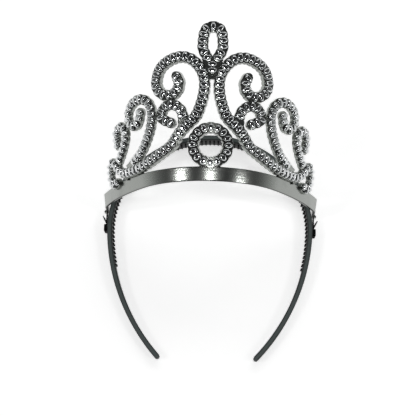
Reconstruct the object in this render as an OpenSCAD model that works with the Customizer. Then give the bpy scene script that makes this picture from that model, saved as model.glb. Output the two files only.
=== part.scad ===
// Mini crown headband: a pierced, stone-set tiara clipped to a toothed headband.
// It lies on its back. X runs to the right, Y towards the crown's peak, Z to the viewer.
// The origin is the middle of the headband's back edge at the top of its loop.

/* [Headband] */
// Width over the loop at its widest
band_w = 123; // [112:0.5:136]
// Thickness of the band
band_t = 3; // [2.4:0.1:3.6]
// Front to back depth of the band at the top of the loop
band_d = 10; // [8:0.5:12]
// Front to back depth at the two tips
tip_d = 6; // [4:0.5:8]
// Spacing of the comb ribs inside the loop
rib_pitch = 2.6; // [2.2:0.1:4]
// Height of the comb ribs
rib_h = 1; // [0.5:0.1:1.5]
// Thickness of one comb rib
rib_t = 0.9; // [0.6:0.1:1.2]

/* [Crown] */
// Height of the crown along its wall, from the rim's lower edge to the peak
crown_h = 85.6; // [78:0.2:92]
// Distance from the headband's back edge to the rim's front
reach = 77; // [70:0.5:84]
// Radius of the rim's front bend
front_r = 49; // [46:0.5:56]
// How far the wall leans outwards, in degrees
lean = 12; // [6:0.5:16]
// How far the rim's lower edge lies below the top of the loop
rim_drop = 47.8; // [44:0.2:52]
// How far the rim's ends lean outwards, in degrees
end_lean = 3; // [0:0.5:8]
// Height of the rim band
rim_h = 7.8; // [6:0.1:9]
// Thickness of the rim band
rim_t = 1.4; // [1.2:0.1:1.8]

/* [Strands and stones] */
// Width of a strand at its stones
strand_w = 5.8; // [5.2:0.1:6.2]
// Width of a strand between its stones
neck_w = 4.9; // [4.4:0.1:5.2]
// Thickness of a strand in front of the rim's face
strand_t = 1.4; // [1:0.1:2]
// How far the front strands spread to their backs on each side
spread = 0.5; // [0.1:0.1:0.8]
// Length of a stone across its strand
stone_l = 4.8; // [4:0.1:4.9]
// Width of a stone along its strand
stone_w = 3.1; // [2.4:0.1:3.2]
// Height of a stone
stone_h = 1.5; // [1:0.1:2]
// Width of a stone's table as a share of the stone
table_k = 0.5; // [0.35:0.05:0.65]

/* [Fits] */
// Gap between pieces that lie against each other
gap = 0.15; // [0.12:0.01:0.25]
// Length of a clip below the rim
clip_l = 11.4; // [10:0.2:13]
// Thickness of a clip
clip_t = 0.9; // [0.8:0.1:1.2]
// Depth of a clip, front to back
clip_d = 5; // [4:0.2:6]
// Wall of the clip's pocket on the headband
pocket_t = 0.9; // [0.8:0.1:1.5]

/* [Hidden] */

// the loop's centre line from its top to a tip, for a loop 120 wide
// a bend is its radius and its turn in degrees, minus is clockwise
LOOP_BENDS = [[62, -50], [54, -42], [116, -41]];
loop_k = (band_w - band_t) / 120.26;

// strands of the right half on the flat pattern of the wall
// columns: start x, start y, start heading, bends, stones, first stone's place, how much thinner,
// depth behind the wall's face, share of the spread to the back
MAIN_SCROLL = [62, 5, 178,
    [[60, -28], [300, -2], [12, -28], [100, 2], [22, 15], [200, -2], [14, -24], [60, -8],
     [34, -13], [16, -26], [18, -28], [11.5, -46], [20, -26], [12, -42], [60, -2], [8, -108],
     [6.2, -62], [8, -25], [4.5, -75]], 45, 1.7, 0, 1.3, 1];
INNER_SCROLL = [16.6, 27.5, 104, [[24, -24], [7.4, -72], [6.2, -95], [3, -75], [20, 4]],
    9, 9.7, 0.08, 1.1, 0];
MIDDLE_SCROLL = [57.4, 7, 150,
    [[80, -10], [20, -20], [54, -9], [27, -20], [14, -22], [8.6, -70], [12, -46], [9, -30],
     [6, -110], [4, -60], [10, -10]], 24, 8.3, 0.16, 0.75, 0];
OUTER_SCROLL = [69.6, 10.2, 136, [[45, -20], [14, -20], [5, -96], [5.7, -92], [12, -22]],
    12, 4.3, 0.26, 0.6, 0];
TAIL_SCROLL = [58, 3.8, 12, [[45, 14], [12, 25], [3.6, -135], [60, -5], [5, -165], [3.2, -60]],
    11, 6.4, 0.36, 0.65, 0];
PEAK_LOOP = [2.75, 58, 90, [[700, -0.9], [6, -32], [60, -1.5], [6, 33.9], [42, 10.5], [4.7, 80]],
    6, 12.25, 0.08, 1.2, 0.6];
SCROLLS = [MAIN_SCROLL, INNER_SCROLL, MIDDLE_SCROLL, OUTER_SCROLL, TAIL_SCROLL];
// columns: radius, height of the middle, stones, how much thinner, depth behind the wall's face
RING = [10, 20.4, 16, 0.16, 1.15];
// heights of the two stones where the arms of the peak's loop run together
WEB_STONES = [66.6, 63.05];
// the peak's height and the spacing of the stones
PATTERN = [88.05, 3.55];
peak_y = PATTERN[0];
pitch = PATTERN[1];
pattern_k = (crown_h - strand_w / 2) / peak_y;

// plan of the rim: front bend, side bends and end bends, all tangent
front_a = 50;
side_a = 69;
end_r = 14;
end_x = band_w / 2 + rim_t + gap - 0.4;
side_r = (end_x - front_r * sin(front_a) - end_r * (1 - sin(side_a)))
    / (sin(side_a) - sin(front_a));
front_z = reach - front_r;
side_cx = (front_r - side_r) * sin(front_a);
side_cz = front_z + (front_r - side_r) * cos(front_a);
end_cx = side_cx + (side_r - end_r) * sin(side_a);
end_cz = side_cz + (side_r - end_r) * cos(side_a);
clip_z = band_d / 2 - 0.2;
rim_y = -rim_drop;

// Bends

function bend_len(b) = b.x * abs(b.y) * PI / 180;
function bend_to(p, r, t) =
    let (c = 2 * r * sin(abs(t) / 2)) [p.x + c * cos(p.z + t / 2), p.y + c * sin(p.z + t / 2),
        p.z + t];
function along(p, bends, s, i = 0) =
    i >= len(bends) ? [p.x + s * cos(p.z), p.y + s * sin(p.z), p.z]
    : s <= bend_len(bends[i]) ? bend_to(p, bends[i].x, bends[i].y * s / bend_len(bends[i]))
    : along(bend_to(p, bends[i].x, bends[i].y), bends, s - bend_len(bends[i]), i + 1);
function total(bends, i = 0) = i >= len(bends) ? 0 : bend_len(bends[i]) + total(bends, i + 1);

// The leaning wall

// a point of the wall: plan angle a, height v up the wall, distance off its face
function wall_at(a, v, off, tilt = lean) =
    let (b = abs(a), w = off * cos(tilt) + v * sin(tilt),
         c = b <= front_a ? [0, front_z, front_r] : b <= side_a ? [side_cx, side_cz, side_r]
             : [end_cx, end_cz, end_r])
    [sign(a) * (c.x + (c.z + w) * sin(b)), rim_y + v * cos(tilt) - off * sin(tilt),
     c.y + (c.z + w) * cos(b)];

// the same from the flat pattern, a fan of two sectors that share a ruling
fan_r = front_r / sin(lean);
fan_a = front_a * sin(lean);
fan_side_r = side_r / sin(lean);
fan_cx = (fan_r - fan_side_r) * sin(fan_a);
fan_cy = (fan_r - fan_side_r) * cos(fan_a) - fan_r;
function on_wall(x, y, off) =
    let (u = abs(x), sg = x < 0 ? -1 : 1, t = atan2(u, y + fan_r))
    t <= fan_a ? wall_at(sg * t / sin(lean), norm([u, y + fan_r]) - fan_r, off)
    : let (q = atan2(u - fan_cx, y - fan_cy))
      wall_at(sg * (front_a + (q - fan_a) / sin(lean)),
          norm([u - fan_cx, y - fan_cy]) - fan_side_r, off);

// the columns of a strand's row
function start(st) = [st[0], st[1], st[2]];
function bends(st) = st[3];
function stone_count(st) = st[4];
function first_stone(st) = st[5];
function thinner(st) = st[6];
function depth(st) = st[7];
function spread_share(st) = st[8];

function place(st, s) =
    let (p = along(start(st), bends(st), s))
    [p.x * pattern_k, p.y * pattern_k, p.z];

// Solids from rings of points

module loft(rings, closed = false) {
    m = len(rings[0]);
    n = len(rings);
    last = closed ? n - 1 : n - 2;
    polyhedron(
        points = [for (r = rings) each r],
        faces = [
            for (i = [0:last]) for (j = [0:m - 1])
                let (k = (j + 1) % m, o = ((i + 1) % n) * m) each
                    [[i * m + j, i * m + k, o + k], [i * m + j, o + k, o + j]],
            if (!closed) for (j = [1:m - 2]) each
                [[0, j + 1, j], [(n - 1) * m, (n - 1) * m + j, (n - 1) * m + j + 1]]
        ]);
}

// a strand's four corners where p = [x, y, heading]
function strand_ring(p, w, thin, depth, share) =
    let (n = [-sin(p.z), cos(p.z)] * w / 2, b = n * (1 + 2 * spread * share / w))
    [on_wall(p.x + b.x, p.y + b.y, -depth), on_wall(p.x - b.x, p.y - b.y, -depth),
     on_wall(p.x - n.x, p.y - n.y, strand_t - thin), on_wall(p.x + n.x, p.y + n.y, strand_t - thin)];
function strand_at(st, s, w) = strand_ring(place(st, s), w, thinner(st), depth(st), spread_share(st));

// a strand's rings from its start to its last stone
function strand_rings(st) = [
    for (s = [0:pitch:first_stone(st) - pitch / 2]) strand_at(st, s, neck_w),
    for (i = [0:stone_count(st) - 1]) each [
        if (i > 0) strand_at(st, first_stone(st) + (i - 0.5) * pitch, neck_w),
        strand_at(st, first_stone(st) + i * pitch, strand_w)]];

module strand(st) {
    s = first_stone(st) + (stone_count(st) - 1) * pitch;
    loft(concat(strand_rings(st), [for (e = [[0.25, 0.9], [0.4, 0.5]])
        strand_at(st, s + e.x * strand_w / pattern_k, strand_w * e.y)]));
}

// the peak's loop: both arms and the crest in one piece
module peak_loop() {
    arm = strand_rings(PEAK_LOOP);
    l = total(bends(PEAK_LOOP));
    rise = concat(arm, [strand_at(PEAK_LOOP, l - pitch / 2, neck_w)]);
    crest = strand_ring([0, peak_y * pattern_k, 180], strand_w, thinner(PEAK_LOOP), depth(PEAK_LOOP), 1);
    loft(concat(rise, [crest], [for (i = [len(rise) - 1:-1:0]) [for (q = rise[i]) [-q.x, q.y, q.z]]]));
}

function ring_place(i) =
    let (a = 90 + i * 360 / RING[2])
    [RING[0] * cos(a) * pattern_k, (RING[1] + RING[0] * sin(a)) * pattern_k, a + 90];

module centre_ring() {
    loft([for (i = [0:RING[2] - 1]) for (f = [[-0.5, neck_w], [0, strand_w]])
        strand_ring(ring_place(i + f.x), f.y, RING[3], RING[4], 1)], closed = true);
}

module rim() {
    right = [for (k = [1:14]) front_a * k / 14, for (k = [1:7]) front_a + (side_a - front_a) * k / 7,
        for (k = [1:5]) side_a + (90 - side_a) * k / 5, 91];
    loft([for (a = concat([for (i = [len(right) - 1:-1:0]) -right[i]], [0], right))
        let (b = min(abs(a), 90), t = lean + (end_lean - lean) * max(0, b - side_a) / (90 - side_a))
        [for (c = [[0, -rim_t], [0, 0], [rim_h, 0], [rim_h, -rim_t]])
            wall_at(sign(a) * b, c.x, c.y, t)
                - [0, 0, abs(a) > 90 ? end_cz - clip_z + clip_d * 0.48 : 0]]]);
}

// Stones

// room along the strand for a stone that turns by t degrees in one pitch
function stone_fit(t, every = pitch) =
    min(stone_w, (every * pattern_k - abs(t) * PI / 180 * stone_l * 0.19) * 0.95 / 0.924 - 0.12);

module stone(p, w, l = stone_l) {
    o = on_wall(p.x, p.y, strand_t + gap);
    n = on_wall(p.x, p.y, strand_t + gap + 1) - o;
    d = on_wall(p.x + 0.1 * cos(p.z), p.y + 0.1 * sin(p.z), strand_t + gap) - o;
    e = d / norm(d);
    f = cross(n, e);
    ring = [for (k = [0:7]) let (a = 22.5 + 45 * k) e * cos(a) * w / 2 + f * sin(a) * l / 2];
    polyhedron(points = concat([for (q = ring) o + q], [for (q = ring) o + q * table_k + n * stone_h]),
        faces = [[for (k = [0:7]) k], [for (k = [7:-1:0]) 8 + k],
            for (k = [0:7]) [k, k + 8, (k + 1) % 8 + 8, (k + 1) % 8]]);
}

module stones(st) {
    for (i = [0:stone_count(st) - 1]) {
        s = first_stone(st) + i * pitch;
        stone(place(st, s),
            stone_fit(max(abs(place(st, s + pitch).z - place(st, s).z),
                      abs(place(st, s).z - place(st, s - pitch).z))));
    }
}

// Headband

function loop_at(s, off) =
    let (p = along([0, 0, 0], [for (b = LOOP_BENDS) [b.x * loop_k, b.y]], s))
    [p.x - sin(p.z) * off, p.y + cos(p.z) * off];
loop_l = total([for (b = LOOP_BENDS) [b.x * loop_k, b.y]]);
tip_y = loop_at(loop_l, 0).y;

module half_loop() {
    m = 32;
    polygon(concat(
        [for (i = [0:m]) loop_at(loop_l * i / m, band_t / 2)],
        [for (a = [60:-30:-60]) let (c = loop_at(loop_l, 0), h = along([0, 0, 0], LOOP_BENDS, 1e4).z)
            c + [cos(h + a), sin(h + a)] * band_t / 2],
        [for (i = [m:-1:0]) loop_at(loop_l * i / m, -band_t / 2)],
        [loop_at(0, -band_t / 2) - [0.2, 0], loop_at(0, band_t / 2) - [0.2, 0]]));
}

module half_ribs() {
    for (i = [0:floor(loop_l * 0.65 / rib_pitch)]) {
        s = (i + 0.5) * rib_pitch;
        polygon([loop_at(s - rib_t / 2, -band_t / 2 + 0.3), loop_at(s + rib_t / 2, -band_t / 2 + 0.3),
                 loop_at(s + rib_t / 3, -band_t / 2 - rib_h),
                 loop_at(s - rib_t / 3, -band_t / 2 - rib_h)]);
    }
}

module both_sides() {
    children();
    mirror([1, 0, 0]) children();
}

module headband() {
    color([0.05, 0.05, 0.055]) {
        difference() {
            union() {
                intersection() {
                    linear_extrude(band_d) both_sides() half_loop();
                    rotate([90, 0, 90]) linear_extrude(band_w + 20, center = true)
                        polygon([[5, -1], [tip_y - 5, -1], [tip_y - 5, tip_d],
                                 [tip_y * 0.45, band_d], [5, band_d]]);
                }
                both_sides() translate([0, 0, 1.5]) linear_extrude(band_d - 3.5) half_ribs();
                both_sides() translate([band_w / 2 - 1.5, rim_y - clip_l - pocket_t, clip_z - pocket_t - clip_d / 2])
                    cube([1.5 + clip_t + 2 * gap + pocket_t, 3.4 + pocket_t, clip_d + 2 * pocket_t]);
            }
            both_sides() translate([band_w / 2, rim_y - clip_l - gap, clip_z - clip_d / 2 - gap])
                cube([clip_t + 2 * gap, 6, clip_d + 2 * gap]);
        }
    }
}

// Tiara

// one corner of a clip: distance out from the band, distance below the rim
module clip_pin(u, v, d = clip_t) {
    translate([band_w / 2 + gap + u, rim_y - v, clip_z]) cylinder(h = clip_d, d = d, center = true, $fn = 8);
}

module clip() {
    u = clip_t * 0.6;
    l = clip_l;
    hull() { clip_pin(u, l - clip_t / 2); clip_pin(u * 1.1, l * 0.55); }
    hull() { clip_pin(u * 1.1, l * 0.57); clip_pin(u * 0.9, -rim_h * 0.18); }
    hull() { clip_pin(u, l * 0.64); clip_pin(u * 3.7, l * 0.4); }
    hull() { clip_pin(u * 3.7, l * 0.4); clip_pin(u * 5.5, l * 0.25, clip_t * 0.7); }
    hull() { clip_pin(u * 1.6, -rim_h * 0.15); clip_pin(u * 4, rim_h * 0.05, clip_t * 0.7); }
}

module tiara_frame() {
    color([0.82, 0.83, 0.85]) {
        both_sides() {
            for (st = SCROLLS) strand(st);
            clip();
        }
        rim();
        centre_ring();
        peak_loop();
    }
}

module right_stones() {
    color([0.92, 0.93, 0.95]) for (st = SCROLLS) stones(st);
}

module left_stones() {
    color([0.92, 0.93, 0.95]) mirror([1, 0, 0]) for (st = SCROLLS) stones(st);
}

// the ring's stones are shorter than the rest
module ring_stones() {
    color([0.92, 0.93, 0.95]) for (i = [0:RING[2] - 1])
        stone(ring_place(i), stone_fit(360 / RING[2], 2 * PI * RING[0] / RING[2]), stone_l * 0.86);
}

module peak_stones() {
    color([0.92, 0.93, 0.95]) {
        both_sides() stones(PEAK_LOOP);
        stone([0, peak_y * pattern_k, 180], stone_fit(43));
        for (y = WEB_STONES) stone([0, y * pattern_k, 90], stone_fit(0));
    }
}

headband();
tiara_frame();
left_stones();
right_stones();
ring_stones();
peak_stones();
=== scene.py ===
"""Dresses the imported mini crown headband: a chrome tiara set with stones on a black headband."""
import math

import bmesh
import bpy
from bpy.props import FloatProperty, FloatVectorProperty, PointerProperty
from mathutils import Matrix, Vector


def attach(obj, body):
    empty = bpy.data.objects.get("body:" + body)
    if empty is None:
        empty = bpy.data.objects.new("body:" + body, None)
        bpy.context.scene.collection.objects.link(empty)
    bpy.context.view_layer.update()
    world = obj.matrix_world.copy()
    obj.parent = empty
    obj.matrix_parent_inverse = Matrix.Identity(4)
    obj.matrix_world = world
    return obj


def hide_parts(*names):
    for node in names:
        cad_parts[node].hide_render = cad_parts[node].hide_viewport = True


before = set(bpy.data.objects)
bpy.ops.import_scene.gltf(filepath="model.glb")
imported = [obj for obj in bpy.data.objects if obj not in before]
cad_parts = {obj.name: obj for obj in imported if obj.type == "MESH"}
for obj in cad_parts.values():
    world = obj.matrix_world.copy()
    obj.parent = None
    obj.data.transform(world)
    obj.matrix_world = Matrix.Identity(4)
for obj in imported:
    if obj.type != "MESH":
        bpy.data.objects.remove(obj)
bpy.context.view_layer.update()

bl_info = {
    "name": "Mini Crown Headband",
    "version": (1, 0, 0),
    "blender": (4, 5, 0),
    "location": "View3D > Sidebar > Tiara",
    "description": "Builds the plated tiara, its stones and the black headband",
    "category": "Object",
}

MM = 0.001

# strands of the right half on the flat pattern of the crown's wall, in millimetres:
# start x, start y, heading, bends of (radius, turn), stones, first stone's place, how much
# thinner, depth behind the wall's face, share of the spread to the back
SCROLLS = {
    "main": (62, 5, 178, ((60, -28), (300, -2), (12, -28), (100, 2), (22, 15), (200, -2),
             (14, -24), (60, -8), (34, -13), (16, -26), (18, -28), (11.5, -46), (20, -26),
             (12, -42), (60, -2), (8, -108), (6.2, -62), (8, -25), (4.5, -75)),
             45, 1.7, 0, 1.3, 1),
    "inner": (16.6, 27.5, 104, ((24, -24), (7.4, -72), (6.2, -95), (3, -75), (20, 4)),
              9, 9.7, 0.08, 1.1, 0),
    "middle": (57.4, 7, 150, ((80, -10), (20, -20), (54, -9), (27, -20), (14, -22), (8.6, -70),
               (12, -46), (9, -30), (6, -110), (4, -60), (10, -10)),
               24, 8.3, 0.16, 0.75, 0),
    "outer": (69.6, 10.2, 136, ((45, -20), (14, -20), (5, -96), (5.7, -92), (12, -22)),
              12, 4.3, 0.26, 0.6, 0),
    "tail": (58, 3.8, 12, ((45, 14), (12, 25), (3.6, -135), (60, -5), (5, -165), (3.2, -60)),
             11, 6.4, 0.36, 0.65, 0),
}
PEAK = (2.75, 58, 90, ((700, -0.9), (6, -32), (60, -1.5), (6, 33.9), (42, 10.5), (4.7, 80)),
        6, 12.25, 0.08, 1.2, 0.6)
PEAK_Y = 88.05
WEB_STONES = (66.6, 63.05)
RING_R, RING_Y, RING_N = 10, 20.4, 16
PITCH = 3.55
# one side of the headband's loop: bends of (radius, turn), and the width over both sides
LOOP_BENDS = ((62, -50), (54, -42), (116, -41))
LOOP_W = 120.26
COMB_SHARE = 0.65      # how far down each leg the comb reaches
MARK_SHARE = 0.655     # where the mould mark lies
# the crown's wall on plan: where its front and side bends end, and the radius at its ends
FRONT_A, SIDE_A, END_R = 50, 69, 14
STEPS = 10             # cross-sections for each stone's pitch along a strand


def sin(a):
    return math.sin(math.radians(a))


def cos(a):
    return math.cos(math.radians(a))


# The same forms as the solid part, in millimetres.

def bend_to(p, r, turn):
    c = 2 * r * sin(abs(turn) / 2)
    return (p[0] + c * cos(p[2] + turn / 2), p[1] + c * sin(p[2] + turn / 2), p[2] + turn)


def along(p, bends, s):
    """The point and heading that lie s along a chain of bends."""
    for r, turn in bends:
        length = r * math.radians(abs(turn))
        if s <= length:
            return bend_to(p, r, turn * s / length)
        p = bend_to(p, r, turn)
        s -= length
    return (p[0] + s * cos(p[2]), p[1] + s * sin(p[2]), p[2])


def total(bends):
    return sum(r * math.radians(abs(turn)) for r, turn in bends)


class Wall:
    """The crown's leaning wall, which strands and stones lie on."""

    def __init__(self, z):
        mm = 1 / MM
        self.rim_t, self.rim_h = z.rim_t * mm, z.rim_h * mm
        self.strand_w, self.neck_w, self.strand_t = z.strand_w * mm, z.neck_w * mm, z.strand_t * mm
        self.lean, self.end_lean = math.degrees(z.lean), math.degrees(z.end_lean)
        self.gap, self.spread = z.gap * mm, z.spread * mm
        self.half_band = z.band_w * mm / 2
        self.rim_y = -z.rim_drop * mm
        self.front_r = z.front_r * mm
        front_z = z.reach * mm - self.front_r
        end_x = self.half_band + self.rim_t + self.gap - 0.4
        side_r = ((end_x - self.front_r * sin(FRONT_A) - END_R * (1 - sin(SIDE_A)))
                  / (sin(SIDE_A) - sin(FRONT_A)))
        side = ((self.front_r - side_r) * sin(FRONT_A),
                front_z + (self.front_r - side_r) * cos(FRONT_A))
        end = (side[0] + (side_r - END_R) * sin(SIDE_A), side[1] + (side_r - END_R) * cos(SIDE_A))
        self.bends = ((0, front_z, self.front_r), (*side, side_r), (*end, END_R))
        self.end_cz = end[1]
        self.clip_z = z.band_d * mm / 2 - 0.2
        s = sin(self.lean)
        self.fan_r, self.fan_a = self.front_r / s, FRONT_A * s
        self.fan_side_r = side_r / s
        self.fan_cx = (self.fan_r - self.fan_side_r) * sin(self.fan_a)
        self.fan_cy = (self.fan_r - self.fan_side_r) * cos(self.fan_a) - self.fan_r
        self.k = (z.crown_h * mm - self.strand_w / 2) / PEAK_Y

    def at(self, a, v, off, tilt=None):
        """The point at an angle round the wall, v up its slope and off its face."""
        tilt = self.lean if tilt is None else tilt
        b = abs(a)
        w = off * cos(tilt) + v * sin(tilt)
        cx, cz, r = self.bends[0 if b <= FRONT_A else 1 if b <= SIDE_A else 2]
        x = cx + (r + w) * sin(b)
        return Vector((-x if a < 0 else x, self.rim_y + v * cos(tilt) - off * sin(tilt),
                       cz + (r + w) * cos(b)))

    def on(self, x, y, off):
        """The point on the wall that a place on the flat pattern bends to."""
        u, sg = abs(x), -1 if x < 0 else 1
        t = math.degrees(math.atan2(u, y + self.fan_r))
        if t <= self.fan_a:
            return self.at(sg * t / sin(self.lean), math.hypot(u, y + self.fan_r) - self.fan_r, off)
        q = math.degrees(math.atan2(u - self.fan_cx, y - self.fan_cy))
        return self.at(sg * (FRONT_A + (q - self.fan_a) / sin(self.lean)),
                       math.hypot(u - self.fan_cx, y - self.fan_cy) - self.fan_side_r, off)

    def place(self, row, s):
        """The place and heading on the pattern, s along a row's strand."""
        x, y, h = along(row[:3], row[3], s)
        return (x * self.k, y * self.k, h)


def add_piece(name, points, faces, smooth_angle=None, tones=None):
    """A mesh piece from points in millimetres; it rides on the part's one body."""
    mesh = bpy.data.meshes.new(name)
    mesh.from_pydata([Vector(p) * MM for p in points], [], faces)
    mesh.validate()
    bm = bmesh.new()
    bm.from_mesh(mesh)
    bmesh.ops.recalc_face_normals(bm, faces=bm.faces)
    bm.to_mesh(mesh)
    bm.free()
    if smooth_angle is not None:
        mesh.shade_smooth()
        mesh.set_sharp_from_angle(angle=math.radians(smooth_angle))
    if tones is not None:
        tone = mesh.attributes.new("tone", "FLOAT", "POINT")
        tone.data.foreach_set("value", tones)
    piece = bpy.data.objects.new(name, mesh)
    bpy.context.scene.collection.objects.link(piece)
    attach(piece, "root")
    return piece


def loft(rings, closed=False):
    """Faces that join rings of points, with flat ends unless the rings close on themselves."""
    n, m = len(rings), len(rings[0])
    points = [p for r in rings for p in r]
    faces = []
    for i in range(n if closed else n - 1):
        a, b = i * m, (i + 1) % n * m
        faces += [(a + j, a + (j + 1) % m, b + (j + 1) % m, b + j) for j in range(m)]
    if not closed:
        faces += [tuple(range(m - 1, -1, -1)), tuple(range((n - 1) * m, n * m))]
    return points, faces


class Heap:
    """Gathers many small forms into one mesh."""

    def __init__(self):
        self.points, self.faces, self.tones = [], [], []

    def add(self, points, faces, tone=0.0):
        k = len(self.points)
        self.points += points
        self.faces += [tuple(i + k for i in f) for f in faces]
        self.tones += [tone] * len(points)

    def add_both(self, points, faces, tone=0.0):
        self.add(points, faces, tone)
        self.add([(-p[0], p[1], p[2]) for p in points], [f[::-1] for f in faces], tone)


def strand_section(wall, thin, depth, share):
    """Across a strand: millimetres past its half width, height off the wall, with a raised lip."""
    f, s = wall.strand_t - thin, wall.spread * share
    half = ((s - 0.25, -depth), (s - 0.08, 0.08 - depth), (s - 0.03, 0.3 - depth), (0.02, f - 0.1),
            (-0.02, f + 0.1), (-0.1, f + 0.2), (-0.24, f + 0.2), (-0.36, f + 0.08), (-0.42, f))
    return half + tuple((None, u, h) for u, h in half[::-1])


def strand_ring(wall, p, width, section):
    """The section's points across a strand at a place of the pattern."""
    nx, ny = -sin(p[2]), cos(p[2])
    out = []
    for entry in section:
        side = -1 if len(entry) == 3 else 1
        u = side * max(width / 2 + entry[-2], 0.01)
        out.append(wall.on(p[0] + nx * u, p[1] + ny * u, entry[-1]))
    return out


def lobed(wall, turns):
    """A strand's width: full at its stones, where turns is whole, and pinched between them."""
    return wall.neck_w + (wall.strand_w - wall.neck_w) * abs(cos(180 * turns)) ** 0.6


def strand_form(wall, row):
    """A strand from its foot to the round end past its last stone."""
    section = strand_section(wall, *row[6:9])
    first, last = row[5], row[5] + (row[4] - 1) * PITCH
    reach = wall.strand_w * 0.48 / wall.k
    rings, s = [], 0.0
    while s < last:
        width = lobed(wall, (s - first) / PITCH)
        rings.append(strand_ring(wall, wall.place(row, s), width, section))
        s += PITCH / STEPS
    for q in (0, 0.2, 0.4, 0.58, 0.74, 0.86, 0.94, 0.985):
        rings.append(strand_ring(wall, wall.place(row, last + q * reach),
                                 wall.strand_w * math.sqrt(1 - q * q), section))
    return loft(rings)


def stone_fit(turn, wall, size, every=PITCH):
    """A stone's width along its strand, less where the strand bends by turn between stones."""
    room = every * wall.k - math.radians(abs(turn)) * size[0] * 0.19
    return min(size[1], room * 0.95 / 0.924 - 0.12)


# a stone's rings from its girdle to its middle, as shares of its half width
STONE_RINGS = (1.0, 1.0, 0.96, 0.9, 0.83, 0.76, 0.7, 0.64, 0.57, 0.46, 0.25)
STONE_SIDES = 24


def stone_height(q, a, table):
    """Height of a domed, eight-sided cut with soft ridges and a table, as a share of its height."""
    c = cos((a + 22.5) % 45 - 22.5)
    slope = 1 - (q * c - table) / (1 - table)
    cut = (1 + slope - math.sqrt((1 - slope) ** 2 + 0.02)) / 2 + 0.02
    dome = math.sqrt(1 - (0.95 * q) ** 2)
    return 0.46 + 0.535 * (0.6 * min(cut, 1) + 0.4 * dome)


def stone_form(wall, p, width, size):
    """A domed stone: soft facets that fall from its table to an upright girdle."""
    base = wall.strand_t + wall.gap
    o = wall.on(p[0], p[1], base)
    n = wall.on(p[0], p[1], base + 1) - o
    e = (wall.on(p[0] + 0.1 * cos(p[2]), p[1] + 0.1 * sin(p[2]), base) - o).normalized()
    f = n.cross(e)
    rings = []
    for row, q in enumerate(STONE_RINGS):
        ring = []
        for k in range(STONE_SIDES):
            a = 360 / STONE_SIDES * k
            h = -0.1 if row == 0 else stone_height(q, a, size[3])
            ring.append(o + e * (cos(a) * width / 2 * q) + f * (sin(a) * size[0] / 2 * q)
                        + n * (size[2] * h))
        rings.append(ring)
    return loft(rings)


def stone_tone(i):
    """A settled but uneven value for each stone."""
    return (i * 0.618034) % 1.0


def new_group(name, inputs, outputs):
    group = bpy.data.node_groups.new(name, "ShaderNodeTree")
    for label, kind, value in inputs:
        socket = group.interface.new_socket(label, in_out="INPUT", socket_type=kind)
        if value is not None:
            socket.default_value = value
    for label, kind in outputs:
        group.interface.new_socket(label, in_out="OUTPUT", socket_type=kind)
    return group


def node(tree, kind, place, **values):
    made = tree.nodes.new(kind)
    made.location = place
    for key, value in values.items():
        if key in made.inputs:
            made.inputs[key].default_value = value
        else:
            setattr(made, key, value)
    return made


def plating_group():
    """Fine unevenness of plated plastic: a soft ripple, polishing streaks, haze and tiny specks."""
    group = new_group("Plating Wear", (
        ("Scale", "NodeSocketFloat", 1.0), ("Streaks", "NodeSocketFloat", 0.0),
        ("Clean Roughness", "NodeSocketFloat", 0.05),
        ("Hazy Roughness", "NodeSocketFloat", 0.2), ("Bright", "NodeSocketColor", (0.9, 0.9, 0.9, 1)),
        ("Dull", "NodeSocketColor", (0.6, 0.6, 0.6, 1))),
        (("Color", "NodeSocketColor"), ("Roughness", "NodeSocketFloat"), ("Height", "NodeSocketFloat")))
    t = group
    link = t.links.new
    gin = node(t, "NodeGroupInput", (-900, 0))
    gout = node(t, "NodeGroupOutput", (600, 0))
    coord = node(t, "ShaderNodeTexCoord", (-900, -300))
    size = node(t, "ShaderNodeVectorMath", (-700, -200), operation="SCALE")
    link(coord.outputs["Object"], size.inputs[0])
    link(gin.outputs["Scale"], size.inputs["Scale"])
    haze = node(t, "ShaderNodeTexNoise", (-480, 100), Scale=90.0, Detail=5.0, Roughness=0.6)
    ripple = node(t, "ShaderNodeTexNoise", (-480, -150), Scale=260.0, Detail=2.0)
    specks = node(t, "ShaderNodeTexNoise", (-480, -400), Scale=2400.0, Detail=3.0, Roughness=0.7)
    for n in (haze, ripple, specks):
        link(size.outputs[0], n.inputs["Vector"])
    patch = node(t, "ShaderNodeMapRange", (-250, 100))
    patch.inputs["From Min"].default_value = 0.52
    patch.inputs["From Max"].default_value = 0.8
    link(haze.outputs["Fac"], patch.inputs["Value"])
    rough = node(t, "ShaderNodeMix", (60, 150), data_type="FLOAT")
    link(patch.outputs["Result"], rough.inputs["Factor"])
    link(gin.outputs["Clean Roughness"], rough.inputs[2])
    link(gin.outputs["Hazy Roughness"], rough.inputs[3])
    tint = node(t, "ShaderNodeMix", (60, -60), data_type="RGBA")
    link(patch.outputs["Result"], tint.inputs["Factor"])
    link(gin.outputs["Bright"], tint.inputs[6])
    link(gin.outputs["Dull"], tint.inputs[7])
    high = node(t, "ShaderNodeMath", (60, -300), operation="MULTIPLY_ADD")
    high.inputs[1].default_value = 0.12
    link(specks.outputs["Fac"], high.inputs[0])
    link(ripple.outputs["Fac"], high.inputs[2])
    stretch = node(t, "ShaderNodeVectorMath", (-480, -650), operation="MULTIPLY")
    stretch.inputs[1].default_value = (0.12, 1.0, 0.12)
    link(size.outputs[0], stretch.inputs[0])
    polish = node(t, "ShaderNodeTexNoise", (-250, -650), Scale=1100.0, Detail=3.0, Roughness=0.6)
    link(stretch.outputs[0], polish.inputs["Vector"])
    streaked = node(t, "ShaderNodeMath", (250, -450), operation="MULTIPLY_ADD")
    link(polish.outputs["Fac"], streaked.inputs[0])
    link(gin.outputs["Streaks"], streaked.inputs[1])
    link(high.outputs[0], streaked.inputs[2])
    link(tint.outputs[2], gout.inputs["Color"])
    link(rough.outputs[0], gout.inputs["Roughness"])
    link(streaked.outputs[0], gout.inputs["Height"])
    return group


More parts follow.
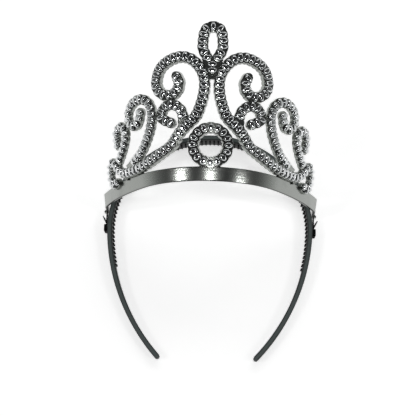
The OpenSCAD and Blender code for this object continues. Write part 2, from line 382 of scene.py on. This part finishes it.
def get_group(name, maker):
    return bpy.data.node_groups.get(name) or maker()


def plated(name, bright, dull, clean, hazy, scale, bump, streaks=0.0, darkest=None):
    """A mirror-plated finish from the wear group, scaled down to a darkest share by each point's value if
    asked: random tone on the stones, painted dark reflection on the rim's lower edge.
    """
    mat = bpy.data.materials.new(name)
    mat.use_nodes = True
    t = mat.node_tree
    link = t.links.new
    shader = t.nodes["Principled BSDF"]
    shader.inputs["Metallic"].default_value = 1.0
    wear = node(t, "ShaderNodeGroup", (-500, 0), node_tree=get_group("Plating Wear", plating_group))
    wear.inputs["Scale"].default_value = scale
    wear.inputs["Streaks"].default_value = streaks
    wear.inputs["Clean Roughness"].default_value = clean
    wear.inputs["Hazy Roughness"].default_value = hazy
    wear.inputs["Bright"].default_value = (*bright, 1)
    wear.inputs["Dull"].default_value = (*dull, 1)
    relief = node(t, "ShaderNodeBump", (-250, -250), Strength=bump, Distance=0.0002)
    link(wear.outputs["Height"], relief.inputs["Height"])
    link(relief.outputs["Normal"], shader.inputs["Normal"])
    link(wear.outputs["Roughness"], shader.inputs["Roughness"])
    if darkest is not None:
        tone = node(t, "ShaderNodeAttribute", (-500, 260), attribute_name="tone")
        shade = node(t, "ShaderNodeMapRange", (-320, 260))
        shade.inputs["To Min"].default_value = darkest
        shade.inputs["To Max"].default_value = 1.0
        link(tone.outputs["Fac"], shade.inputs["Value"])
        mixed = node(t, "ShaderNodeVectorMath", (-150, 160), operation="SCALE")
        link(wear.outputs["Color"], mixed.inputs[0])
        link(shade.outputs["Result"], mixed.inputs["Scale"])
        link(mixed.outputs[0], shader.inputs["Base Color"])
    else:
        link(wear.outputs["Color"], shader.inputs["Base Color"])
    return mat


def black_plastic(name, color, rough, shine=0.28, by_tone=False):
    """Satin moulded plastic with fine grain and rubbed places, with painted shade by each point's value if
    asked.
    """
    mat = bpy.data.materials.new(name)
    mat.use_nodes = True
    t = mat.node_tree
    link = t.links.new
    shader = t.nodes["Principled BSDF"]
    shader.inputs["Specular IOR Level"].default_value = shine
    coord = node(t, "ShaderNodeTexCoord", (-900, 0))
    grain = node(t, "ShaderNodeTexNoise", (-680, -200), Scale=3500.0, Detail=3.0)
    rubs = node(t, "ShaderNodeTexNoise", (-680, 100), Scale=60.0, Detail=6.0, Roughness=0.65)
    for n in (grain, rubs):
        link(coord.outputs["Object"], n.inputs["Vector"])
    gloss = node(t, "ShaderNodeMapRange", (-420, 80))
    gloss.inputs["From Min"].default_value = 0.3
    gloss.inputs["From Max"].default_value = 0.7
    gloss.inputs["To Min"].default_value = rough * 0.82
    gloss.inputs["To Max"].default_value = rough * 1.2
    link(rubs.outputs["Fac"], gloss.inputs["Value"])
    link(gloss.outputs["Result"], shader.inputs["Roughness"])
    tint = node(t, "ShaderNodeMix", (-420, 320), data_type="RGBA")
    tint.inputs[6].default_value = (*(c * 0.8 for c in color), 1)
    tint.inputs[7].default_value = (*(c * 1.3 for c in color), 1)
    link(rubs.outputs["Fac"], tint.inputs["Factor"])
    if by_tone:
        tone = node(t, "ShaderNodeAttribute", (-420, 560), attribute_name="tone")
        # painted shade: each point's value mixes the colour down to 6%
        sides = node(t, "ShaderNodeMix", (-200, 400), data_type="RGBA")
        sides.inputs[7].default_value = (*(c * 0.06 for c in color), 1)
        link(tone.outputs["Fac"], sides.inputs["Factor"])
        link(tint.outputs[2], sides.inputs[6])
        link(sides.outputs[2], shader.inputs["Base Color"])
    else:
        link(tint.outputs[2], shader.inputs["Base Color"])
    relief = node(t, "ShaderNodeBump", (-420, -200), Strength=0.25, Distance=0.00005)
    link(grain.outputs["Fac"], relief.inputs["Height"])
    link(relief.outputs["Normal"], shader.inputs["Normal"])
    return mat


def floor_paint(name, color):
    mat = bpy.data.materials.new(name)
    mat.use_nodes = True
    shader = mat.node_tree.nodes["Principled BSDF"]
    shader.inputs["Base Color"].default_value = (*color, 1)
    shader.inputs["Roughness"].default_value = 0.7
    shader.inputs["Specular IOR Level"].default_value = 0.2
    shader.inputs["Emission Color"].default_value = (*color, 1)
    shader.inputs["Emission Strength"].default_value = 0.66
    return mat


def length(name, text, mm):
    return FloatProperty(name=name, description=text, default=mm * MM, unit="LENGTH", precision=4)


def color(name, text, value):
    return FloatVectorProperty(name=name, description=text, default=value, subtype="COLOR",
                               min=0, max=1, size=3)


class TiaraSizes(bpy.types.PropertyGroup):
    band_w: length("Band width", "Width over the loop at its widest", 123)
    band_t: length("Band thickness", "Thickness of the band", 3)
    band_d: length("Band depth", "Front to back depth at the top of the loop", 10)
    tip_d: length("Tip depth", "Front to back depth at the tips", 6)
    rib_pitch: length("Rib spacing", "Spacing of the comb ribs", 2.6)
    rib_h: length("Rib height", "Height of the comb ribs", 1)
    rib_t: length("Rib thickness", "Thickness of one comb rib", 0.9)
    crown_h: length("Crown height", "Along the wall from the rim's lower edge to the peak", 85.6)
    reach: length("Reach", "From the band's back edge to the rim's front", 77)
    front_r: length("Front radius", "Radius of the rim's front bend", 49)
    rim_drop: length("Rim drop", "Rim's lower edge below the top of the loop", 47.8)
    rim_h: length("Rim height", "Height of the rim band", 7.8)
    rim_t: length("Rim thickness", "Thickness of the rim band", 1.4)
    strand_w: length("Strand width", "Width of a strand at its stones", 5.8)
    neck_w: length("Neck width", "Width of a strand between its stones", 4.9)
    strand_t: length("Strand thickness", "Thickness of a strand before the rim's face", 1.4)
    spread: length("Strand spread", "How far the front strands spread to their backs", 0.5)
    stone_l: length("Stone length", "Length of a stone across its strand", 4.8)
    stone_w: length("Stone width", "Width of a stone along its strand", 3.1)
    stone_h: length("Stone height", "Height of a stone", 1.5)
    table_k: FloatProperty(name="Table share", description="Width of a stone's table as a share of it",
                           default=0.64, min=0.3, max=0.8, subtype="FACTOR")
    gap: length("Fit gap", "Gap between pieces that lie against each other", 0.15)
    clip_l: length("Clip length", "Length of a clip below the rim", 11.4)
    clip_d: length("Clip depth", "Depth of a clip, front to back", 5)
    clip_t: length("Clip thickness", "Thickness of a clip", 0.9)
    pocket_t: length("Pocket wall", "Wall of the clip's pocket", 0.9)
    lean: FloatProperty(name="Lean", description="How far the wall leans outwards",
                        default=math.radians(12), subtype="ANGLE")
    end_lean: FloatProperty(name="End lean", description="How far the rim's ends lean outwards",
                            default=math.radians(3), subtype="ANGLE")


class TiaraLooks(bpy.types.PropertyGroup):
    chrome: color("Chrome", "Clean plating", (0.3, 0.312, 0.296))
    chrome_dull: color("Chrome haze", "Plating where it is hazy", (0.24, 0.25, 0.237))
    stone: color("Stones", "Mirror-backed stones", (0.73, 0.745, 0.75))
    band: color("Headband", "Black plastic", (0.1, 0.12, 0.117))
    band_rough: FloatProperty(name="Headband roughness", description="Satin of the black plastic",
                              default=0.5, min=0, max=1, subtype="FACTOR")
    floor: color("Floor", "Pale floor", (0.92, 0.92, 0.92))
    key: FloatProperty(name="Key light", description="Strength of the large soft light",
                       default=26.0, unit="POWER")


def sizes():
    return bpy.context.scene.tiara_sizes


def looks():
    return bpy.context.scene.tiara_looks


def get_material(name, maker, *args, **kwargs):
    return bpy.data.materials.get(name) or maker(name, *args, **kwargs)


# painted shade: the comb ribs and the clip pockets take the band's black at 4%, a darker copy of the same
# plastic that stands for the shade they lie in
def shaded_plastic():
    return get_material("Black Comb Plastic", black_plastic, tuple(c * 0.04 for c in looks().band),
                        0.75, 0.1)


def chrome():
    look = looks()
    return get_material("Chrome Plating", plated, look.chrome, look.chrome_dull, 0.13, 0.24, 1.0, 0.12)


# painted dark reflection on the rim's lower edge, from its per-point values
def rim_chrome():
    look = looks()
    return get_material("Streaked Chrome", plated, look.chrome, look.chrome_dull, 0.21, 0.3, 1.0,
                        0.08, 2.5, darkest=0.3)


def loop_at(z, s, off):
    """The place s along the band's middle line, off it to the outer side."""
    k = (z.band_w - z.band_t) / MM / LOOP_W
    x, y, h = along((0, 0, 0), tuple((r * k, t) for r, t in LOOP_BENDS), s)
    return (x - sin(h) * off, y + cos(h) * off)


def loop_length(z):
    return total(LOOP_BENDS) * (z.band_w - z.band_t) / MM / LOOP_W


def band_depth(z, y, tip_y):
    """Depth of the band, which thins from below its middle to its tips."""
    d, tip = z.band_d / MM, z.tip_d / MM
    start, end = tip_y * 0.45, tip_y - 5
    return d if y > start else d + (tip - d) * (start - y) / (start - end)


class TIARA_OT_headband(bpy.types.Operator):
    """Build the black band with soft edges and a low mould mark"""
    bl_idname = "tiara.headband"
    bl_label = "Headband"

    def execute(self, context):
        z = sizes()
        t, length_ = z.band_t / MM, loop_length(z)
        tip_y = loop_at(z, length_, 0)[1]
        half, soft = t / 2, 0.35
        count = 150
        places = [(length_ * i / count, 1.0) for i in range(count + 1)]
        places += [(length_ + (t / 2 - 0.04) * sin(a), cos(a)) for a in (20, 40, 55, 68, 78, 86)]

        def ring(s, share):
            w = half * share
            e = min(soft, w * 0.9)
            depth = band_depth(z, loop_at(z, s, 0)[1], tip_y)
            out = []
            for u, h in ((-w, soft), (-w + e * 0.3, soft * 0.3), (-w + e, 0), (w - e, 0),
                         (w - e * 0.3, soft * 0.3), (w, soft), (w, depth - soft),
                         (w - e * 0.3, depth - soft * 0.3), (w - e, depth), ((w - e) * 0.6, depth),
                         ((e - w) * 0.45, depth), (-w + e, depth),
                         (-w + e * 0.3, depth - soft * 0.3), (-w, depth - soft)):
                x, y = loop_at(z, s, u)
                out.append((x, y, h))
            return out
        right = [ring(*p) for p in places]
        left = [[(-x, y, h) for x, y, h in r] for r in right[:0:-1]]
        points, faces = loft(left + right)
        band = Heap()
        band.add(points, faces)
        # painted shade: the bottom and the sides are darkened to 6% of the band's colour, which comes back
        # across the upward, lit face
        band.tones = [1, 1, 1, 1, 1, 1, 1, 0.8, 0.45, 0, 0, 0.7, 0.9, 1] * len(left + right)
        # a low mould mark across the front edge, where the comb ends
        s = length_ * MARK_SHARE
        depth = band_depth(z, loop_at(z, s, 0)[1], tip_y)
        mark = [(*loop_at(z, s + ds, u), depth + h)
                for ds, h in ((-0.25, -0.1), (0.25, -0.1), (0.12, 0.06), (-0.12, 0.06))
                for u in (-half + 0.3, half - 0.3)]
        band.add_both(mark, [(0, 2, 3, 1), (2, 4, 5, 3), (4, 6, 7, 5), (6, 0, 1, 7), (0, 6, 4, 2),
                             (1, 3, 5, 7)])
        piece = add_piece("black_band", band.points, band.faces, 40, band.tones)
        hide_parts("headband")
        piece.data.materials.append(get_material("Black Satin Plastic", black_plastic, looks().band,
                                                 looks().band_rough, by_tone=True))
        return {"FINISHED"}


class TIARA_OT_comb(bpy.types.Operator):
    """Build the comb ribs inside the loop"""
    bl_idname = "tiara.comb"
    bl_label = "Comb ribs"

    def execute(self, context):
        z = sizes()
        half = z.band_t / MM / 2
        pitch, high, thick = z.rib_pitch / MM, z.rib_h / MM, z.rib_t / MM
        top = 1.5 + z.band_d / MM - 3.5
        ribs = Heap()
        for i in range(int(loop_length(z) * COMB_SHARE / pitch) + 1):
            s = (i + 0.5) * pitch
            rings = []
            for h, pull in ((1.5, 0.3), (1.65, 0.08), (1.9, 0), (top - 0.4, 0), (top - 0.15, 0.08),
                            (top, 0.3)):
                ring = []
                for u, v in ((-0.5, 0.3), (-0.46, -high * 0.5), (-0.38, -high + 0.22),
                             (-0.24, -high + 0.04), (0, -high), (0.24, -high + 0.04),
                             (0.38, -high + 0.22), (0.46, -high * 0.5), (0.5, 0.3)):
                    lift = min(v + pull * high, 0.3)
                    ring.append((*loop_at(z, s + u * thick, -half + lift), h))
                rings.append(ring)
            ribs.add_both(*loft(rings))
        piece = add_piece("comb_ribs", ribs.points, ribs.faces, 50)
        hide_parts("headband")
        piece.data.materials.append(shaded_plastic())
        return {"FINISHED"}


def slab(outline, low, high, soft=0.12):
    """A prism on a flat outline with softened edges, low to high along Z."""
    n = len(outline)
    cx = sum(p[0] for p in outline) / n
    cy = sum(p[1] for p in outline) / n

    def inset(by):
        out = []
        for x, y in outline:
            d = math.hypot(x - cx, y - cy)
            k = 1 - min(by / d, 0.5) if d else 1
            out.append((cx + (x - cx) * k, cy + (y - cy) * k))
        return out
    rings = [[(*p, low) for p in inset(soft)], [(*p, low + soft) for p in outline],
             [(*p, high - soft) for p in outline], [(*p, high) for p in inset(soft)]]
    return loft(rings)


class TIARA_OT_pockets(bpy.types.Operator):
    """Build the small pockets that the crown's clips sit in"""
    bl_idname = "tiara.pockets"
    bl_label = "Clip pockets"

    def execute(self, context):
        z = sizes()
        wall = Wall(z)
        x0 = wall.half_band
        clip_l, clip_d, clip_t, t = z.clip_l / MM, z.clip_d / MM, z.clip_t / MM, z.pocket_t / MM
        gap = z.gap / MM
        y0 = wall.rim_y - clip_l - t
        y1 = y0 + 3.4 + t
        low, high = wall.clip_z - clip_d / 2 - t, wall.clip_z + clip_d / 2 + t
        out0, out1 = x0 + clip_t + 2 * gap, x0 + clip_t + 2 * gap + t
        blocks = Heap()
        # outer wall, bottom and the two cheeks
        blocks.add_both(*slab([(out0, y0), (out1 - 0.3, y0), (out1, y0 + 0.4), (out1, y1 - 0.3),
                               (out1 - 0.3, y1), (out0, y1)], low, high))
        blocks.add_both(*slab([(x0 - 1, y0), (out0 + 0.2, y0), (out0 + 0.2, y0 + t - gap),
                               (x0 - 1, y0 + t - gap)], low, high))
        for a, b in ((low, low + t - gap), (high - t + gap, high)):
            blocks.add_both(*slab([(x0 - 1, y0), (out0 + 0.2, y0), (out0 + 0.2, y1), (x0 - 1, y1)], a, b))
        piece = add_piece("clip_pockets", blocks.points, blocks.faces, 30)
        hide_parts("headband")
        piece.data.materials.append(shaded_plastic())
        return {"FINISHED"}


class TIARA_OT_rim(bpy.types.Operator):
    """Build the crown's smooth rim band"""
    bl_idname = "tiara.rim"
    bl_label = "Rim band"

    def execute(self, context):
        z = sizes()
        w = Wall(z)
        t, h = w.rim_t, w.rim_h
        section = ((0.1, -t), (0.0, -t + 0.1), (0.0, -0.3), (0.08, -0.12), (0.22, -0.03),
                   (0.42, 0.003), (0.8, 0.015), (h * 0.5, 0.05), (h - 0.8, 0.015), (h - 0.42, 0.003),
                   (h - 0.22, -0.03), (h - 0.08, -0.12), (h, -0.3), (h, -t + 0.1), (h - 0.1, -t))
        angles = [90 * i / 150 for i in range(151)]
        end_drop = w.end_cz - w.clip_z + z.clip_d / MM * 0.48

        def ring(a, drop=0.0):
            tilt = w.lean + (w.end_lean - w.lean) * max(0, abs(a) - SIDE_A) / (90 - SIDE_A)
            return [w.at(a, v, off, tilt) - Vector((0, 0, drop)) for v, off in section]
        rings = [ring(a) for a in angles[1:]] + [ring(90, end_drop * q) for q in (0.5, 0.98, 1.0)]
        left = [[Vector((-p.x, p.y, p.z)) for p in r] for r in rings[::-1]]
        points, faces = loft(left + [ring(0)] + rings)
        # painted dark reflection: the lower edge and the lower back corner are darkened to 30% of the
        # chrome
        tones = ([0] * 5 + [1] * (len(section) - 5)) * (2 * len(rings) + 1)
        piece = add_piece("rim_band", points, faces, 35, tones)
        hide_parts("tiara_frame")
        piece.data.materials.append(rim_chrome())
        return {"FINISHED"}


class TIARA_OT_clips(bpy.types.Operator):
    """Build the end clips with their flared points"""
    bl_idname = "tiara.clips"
    bl_label = "End clips"

    def execute(self, context):
        z = sizes()
        w = Wall(z)
        x0, l, d = w.half_band + w.gap, z.clip_l / MM, z.clip_d / MM
        low, high = w.clip_z - d / 2, w.clip_z + d / 2

        def shape(pairs):
            return [(x0 + u, w.rim_y - v) for u, v in pairs]
        clips = Heap()
        clips.add_both(*slab(shape(((0.1, -1.8), (0.98, -1.8), (1.02, 2.6), (1.04, 6.2), (0.97, l),
                                    (0.1, l), (0.16, 6.2), (0.13, 2.6))), low, high))
        clips.add_both(*slab(shape(((0.2, 7.5), (0.95, 7.6), (2.42, 4.8), (3.25, 2.85), (2.9, 2.6),
                                    (1.55, 4.3))), low, high))
        clips.add_both(*slab(shape(((0.5, -1.5), (1.3, -1.5), (2.45, 0.2), (2.1, 0.65), (0.6, -0.5))),
                             low, high))
        piece = add_piece("end_clips", clips.points, clips.faces, 30)
        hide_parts("tiara_frame")
        piece.data.materials.append(chrome())
        return {"FINISHED"}


class TIARA_OT_scrolls(bpy.types.Operator):
    """Build the scrolls and tails of both halves"""
    bl_idname = "tiara.scrolls"
    bl_label = "Scrolls"

    def execute(self, context):
        w = Wall(sizes())
        for name, row in SCROLLS.items():
            heap = Heap()
            heap.add_both(*strand_form(w, row))
            piece = add_piece(name + "_scrolls", heap.points, heap.faces, 40)
            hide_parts("tiara_frame")
            piece.data.materials.append(chrome())
        return {"FINISHED"}


def ring_place(wall, i):
    """The place and heading of the ring's stone i, counted from its top."""
    a = 90 + i * 360 / RING_N
    return (RING_R * cos(a) * wall.k, (RING_Y + RING_R * sin(a)) * wall.k, a + 90)


class TIARA_OT_centre(bpy.types.Operator):
    """Build the centre ring and the peak's loop"""
    bl_idname = "tiara.centre"
    bl_label = "Centre ring and peak loop"

    def execute(self, context):
        w = Wall(sizes())
        section = strand_section(w, 0.16, 1.15, 1)
        rings = []
        for i in range(RING_N * STEPS):
            p = ring_place(w, i / STEPS)
            rings.append(strand_ring(w, p, lobed(w, i / STEPS), section))
        points, faces = loft(rings, closed=True)
        ring = add_piece("centre_ring", points, faces, 40)
        section = strand_section(w, *PEAK[6:9])
        end = total(PEAK[3])
        last = PEAK[5] + (PEAK[4] - 1) * PITCH
        arm = []
        for i in range(91):
            s = end * i / 90
            turns = (s - PEAK[5]) / PITCH if s <= last else (s - last) / (end - last)
            arm.append(strand_ring(w, w.place(PEAK, s), lobed(w, turns), section))
        mirrored = [[Vector((-p.x, p.y, p.z)) for p in r] for r in arm[-2::-1]]
        points, faces = loft(arm + mirrored)
        peak = add_piece("peak_loop", points, faces, 40)
        for piece in (ring, peak):
            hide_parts("tiara_frame")
            piece.data.materials.append(chrome())
        return {"FINISHED"}


class TIARA_OT_stones(bpy.types.Operator):
    """Set the stones on the scrolls, the ring and the loop"""
    bl_idname = "tiara.stones"
    bl_label = "Stones"

    def execute(self, context):
        z = sizes()
        w = Wall(z)
        size = (z.stone_l / MM, z.stone_w / MM, z.stone_h / MM, z.table_k)
        look = looks()
        mat = get_material("Mirror Stones", plated, look.stone, tuple(c * 0.8 for c in look.stone),
                           0.03, 0.09, 2.0, 0.04, darkest=0.75)
        right, ring, peak = Heap(), Heap(), Heap()
        count = 0

        def row_stones(row, add):
            nonlocal count
            for i in range(row[4]):
                s = row[5] + i * PITCH
                h = [w.place(row, s + d)[2] for d in (-PITCH, 0, PITCH)]
                turn = max(abs(h[1] - h[0]), abs(h[2] - h[1]))
                add(*stone_form(w, w.place(row, s), stone_fit(turn, w, size), size), stone_tone(count))
                count += 1
        for row in SCROLLS.values():
            row_stones(row, right.add)
        row_stones(PEAK, peak.add_both)
        peak.add(*stone_form(w, (0, PEAK_Y * w.k, 180), stone_fit(43, w, size), size), 0.5)
        for y in WEB_STONES:
            peak.add(*stone_form(w, (0, y * w.k, 90), stone_fit(0, w, size), size), stone_tone(y))
        width = stone_fit(360 / RING_N, w, size, 2 * math.pi * RING_R / RING_N)
        ring_size = (size[0] * 0.86, *size[1:])
        for i in range(RING_N):
            ring.add(*stone_form(w, ring_place(w, i), width, ring_size), stone_tone(count + i))
        left = [(-p[0], p[1], p[2]) for p in right.points]
        for name, points, faces, tones in (
                ("right_stones", right.points, right.faces, right.tones),
                ("left_stones", left, [f[::-1] for f in right.faces],
                 [(t + 0.37) % 1.0 for t in right.tones]),
                ("ring_stones", ring.points, ring.faces, ring.tones),
                ("peak_stones", peak.points, peak.faces, peak.tones)):
            piece = add_piece(name.replace("_stones", "_set_stones"), points, faces,
                              60, tones)
            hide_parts(name)
            piece.data.materials.append(mat)
        return {"FINISHED"}


def add_light(name, place, target, size, power):
    data = bpy.data.lights.new(name, "AREA")
    data.shape = "RECTANGLE"
    data.size, data.size_y = size
    data.energy = power
    lamp = bpy.data.objects.new(name, data)
    bpy.context.scene.collection.objects.link(lamp)
    lamp.location = place
    lamp.rotation_euler = (Vector(target) - Vector(place)).to_track_quat("-Z", "Y").to_euler()


def room_light(t):
    """A studio that is dark overhead and lighter towards its walls."""
    link = t.links.new
    back = t.nodes["Background"]
    coord = node(t, "ShaderNodeTexCoord", (-900, 0))
    split = node(t, "ShaderNodeSeparateXYZ", (-700, 0))
    link(coord.outputs["Generated"], split.inputs[0])
    ramp = node(t, "ShaderNodeValToRGB", (-500, 0))
    stops = ramp.color_ramp
    stops.elements[0].position, stops.elements[0].color = 0.0, (0.85, 0.87, 0.86, 1)
    stops.elements[1].position, stops.elements[1].color = 0.9, (0.035, 0.036, 0.037, 1)
    for at, level in ((0.12, 0.6), (0.32, 0.28), (0.5, 0.11)):
        mid = stops.elements.new(at)
        mid.color = (level, level * 1.02, level * 1.01, 1)
    link(split.outputs["Z"], ramp.inputs["Fac"])
    link(ramp.outputs["Color"], back.inputs["Color"])
    back.inputs["Strength"].default_value = 1.0


class TIARA_OT_stage(bpy.types.Operator):
    """Lay the floor, set the lights and place the camera"""
    bl_idname = "tiara.stage"
    bl_label = "Stage"

    def execute(self, context):
        look = looks()
        scene = context.scene
        mesh = bpy.data.meshes.new("pale_floor")
        r = 6.0
        mesh.from_pydata([(-r, -r, 0), (r, -r, 0), (r, r, 0), (-r, r, 0)], [], [(0, 1, 2, 3)])
        floor = bpy.data.objects.new("pale_floor", mesh)
        scene.collection.objects.link(floor)
        floor.location.z = -0.0002
        mesh.materials.append(floor_paint("Floor Paint", look.floor))

        world = bpy.data.worlds.new("Studio")
        scene.world = world
        world.use_nodes = True
        room_light(world.node_tree)
        scene.view_settings.view_transform = "Standard"

        aim = (0, -0.04, 0.03)
        add_light("left_softbox", (-0.75, -0.2, 1.0), aim, (0.09, 0.2), look.key * 0.056)
        add_light("middle_softbox", (0.0, -0.26, 1.25), aim, (0.14, 0.14), look.key * 0.052)
        add_light("right_softbox", (0.8, -0.3, 1.0), aim, (0.06, 0.2), look.key * 0.048)
        add_light("far_softbox", (0.2, 1.1, 1.1), aim, (1.6, 0.5), look.key * 0.24)

        # the photograph's view: 15 degrees off straight down, towards the tips
        pitch, yaw, roll = math.radians(15), math.radians(0.8), math.radians(1.6)
        away = Vector((math.sin(yaw) * math.cos(pitch), -math.sin(pitch), math.cos(yaw) * math.cos(pitch)))
        side = Vector((0, 1, 0)).cross(away).normalized()
        up = away.cross(side)
        across = side * math.cos(roll) + up * math.sin(roll)
        upright = -side * math.sin(roll) + up * math.cos(roll)
        data = bpy.data.cameras.new("photo_view")
        data.sensor_width = 36
        data.lens = 36 * 952 / 416
        data.clip_start = 0.01
        camera = bpy.data.objects.new("photo_view", data)
        scene.collection.objects.link(camera)
        place = Vector((-0.0014, -0.0443, 0.008)) + away * 0.575
        turn = Matrix((across, upright, away)).transposed().to_4x4()
        camera.matrix_world = Matrix.Translation(place) @ turn
        scene.camera = camera
        return {"FINISHED"}


class TIARA_PT_panel(bpy.types.Panel):
    bl_idname = "TIARA_PT_panel"
    bl_label = "Mini Crown Headband"
    bl_space_type = "VIEW_3D"
    bl_region_type = "UI"
    bl_category = "Tiara"

    def draw(self, context):
        layout = self.layout
        for op in OPERATORS:
            layout.operator(op.bl_idname)
        for group in (context.scene.tiara_sizes, context.scene.tiara_looks):
            box = layout.box()
            for name in group.__annotations__:
                box.prop(group, name)


OPERATORS = (TIARA_OT_headband, TIARA_OT_comb, TIARA_OT_pockets, TIARA_OT_rim, TIARA_OT_clips,
             TIARA_OT_scrolls, TIARA_OT_centre, TIARA_OT_stones, TIARA_OT_stage)
CLASSES = (TiaraSizes, TiaraLooks, *OPERATORS, TIARA_PT_panel)


def register():
    for c in CLASSES:
        bpy.utils.register_class(c)
    bpy.types.Scene.tiara_sizes = PointerProperty(type=TiaraSizes)
    bpy.types.Scene.tiara_looks = PointerProperty(type=TiaraLooks)


def unregister():
    del bpy.types.Scene.tiara_looks
    del bpy.types.Scene.tiara_sizes
    for c in reversed(CLASSES):
        bpy.utils.unregister_class(c)


def main():
    register()
    bpy.ops.tiara.headband()
    bpy.ops.tiara.comb()
    bpy.ops.tiara.pockets()
    bpy.ops.tiara.rim()
    bpy.ops.tiara.clips()
    bpy.ops.tiara.scrolls()
    bpy.ops.tiara.centre()
    bpy.ops.tiara.stones()
    bpy.ops.tiara.stage()


if __name__ == "__main__":
    main()
